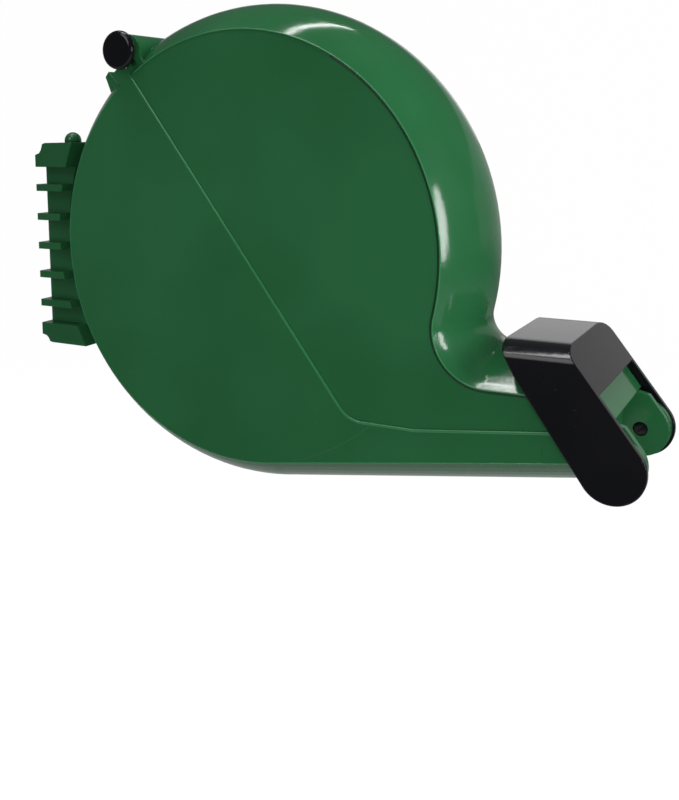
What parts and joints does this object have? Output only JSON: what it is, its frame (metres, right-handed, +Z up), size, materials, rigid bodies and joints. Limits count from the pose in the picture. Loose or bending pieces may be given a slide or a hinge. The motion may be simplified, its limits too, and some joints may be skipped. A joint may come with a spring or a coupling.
{
  "type": "ticket dispenser",
  "caption": "Wall-held snail-shaped dispenser for a roll of queue tickets, with a hinged lid, a press latch, a mouth cap and a swivelling wall bracket.",
  "frame": {"origin": "middle of the bracket's flat wall face, between its two screw holes", "axes": "+X away from the wall towards the nose and mouth, +Z up, +Y towards the far side panel"},
  "size_m": [0.2793, 0.0657, 0.2],
  "materials": {
    "green_plastic": "moulded, glossy, slightly soft reflections",
    "bracket_plastic": "moulded, semi-gloss",
    "black_plastic": "moulded, high gloss",
    "white_plastic": "moulded, satin",
    "steel": "bright zinc plated",
    "paper": "uncoated paper, wound",
    "cardboard": "grey wound cardboard"
  },
  "bodies": {
    "bracket": {"wall_bracket": "bracket_plastic", "bracket_pin": "bracket_plastic", "pin_clip": "steel"},
    "base": {"base_shell": "green_plastic", "swivel_washers": "white_plastic", "guide_axle": "steel", "guide_plate": "steel", "guide_screws": "steel", "ticket_strip": "paper"},
    "lid": {"lid_shell": "green_plastic", "brake_spring": "steel", "brake_screws": "steel", "latch_spring": "steel"},
    "cap": {"mouth_cap": "black_plastic", "hinge_pin_near": "black_plastic", "hinge_pin_far": "black_plastic"},
    "latch": {"latch_button": "black_plastic", "latch_rod": "steel", "latch_catch": "steel", "latch_end_cap": "black_plastic"},
    "roll": {"ticket_roll": "paper", "roll_core": "cardboard", "roll_spindle": "white_plastic", "hub_near": "white_plastic", "hub_far": "white_plastic"},
    "roller": {"guide_roller": "white_plastic"}
  },
  "joints": [
    {"name": "swivel", "type": "hinge", "parent": "bracket", "child": "base", "pos_m": [0.0085, 0, 0], "axis": [0, 0, 1], "range_deg": [-16, 16]},
    {"name": "lid_open", "type": "hinge", "parent": "base", "child": "lid", "pos_m": [0.2678, 0, -0.062], "axis": [0, 1, 0], "range_deg": [0, 80]},
    {"name": "cap_lift", "type": "hinge", "parent": "lid", "child": "cap", "pos_m": [0.2678, 0, -0.062], "axis": [0, 1, 0], "range_deg": [0, 60]},
    {"name": "latch_press", "type": "slide", "parent": "lid", "child": "latch", "axis": [0, 1, 0], "range_m": [0, 0.003], "stiffness_N_per_m": 300, "springref_m": -0.004, "deforming": ["latch_spring"]},
    {"name": "roll_spin", "type": "hinge", "parent": "base", "child": "roll", "pos_m": [0.118, 0, 0.005], "axis": [0, 1, 0], "continuous": true},
    {"name": "roller_spin", "type": "hinge", "parent": "base", "child": "roller", "pos_m": [0.21, 0, -0.061], "axis": [0, 1, 0], "continuous": true}
  ],
  "couplings": [
    {"joint": "roller_spin", "follows": "roll_spin", "ratio": -9}
  ]
}
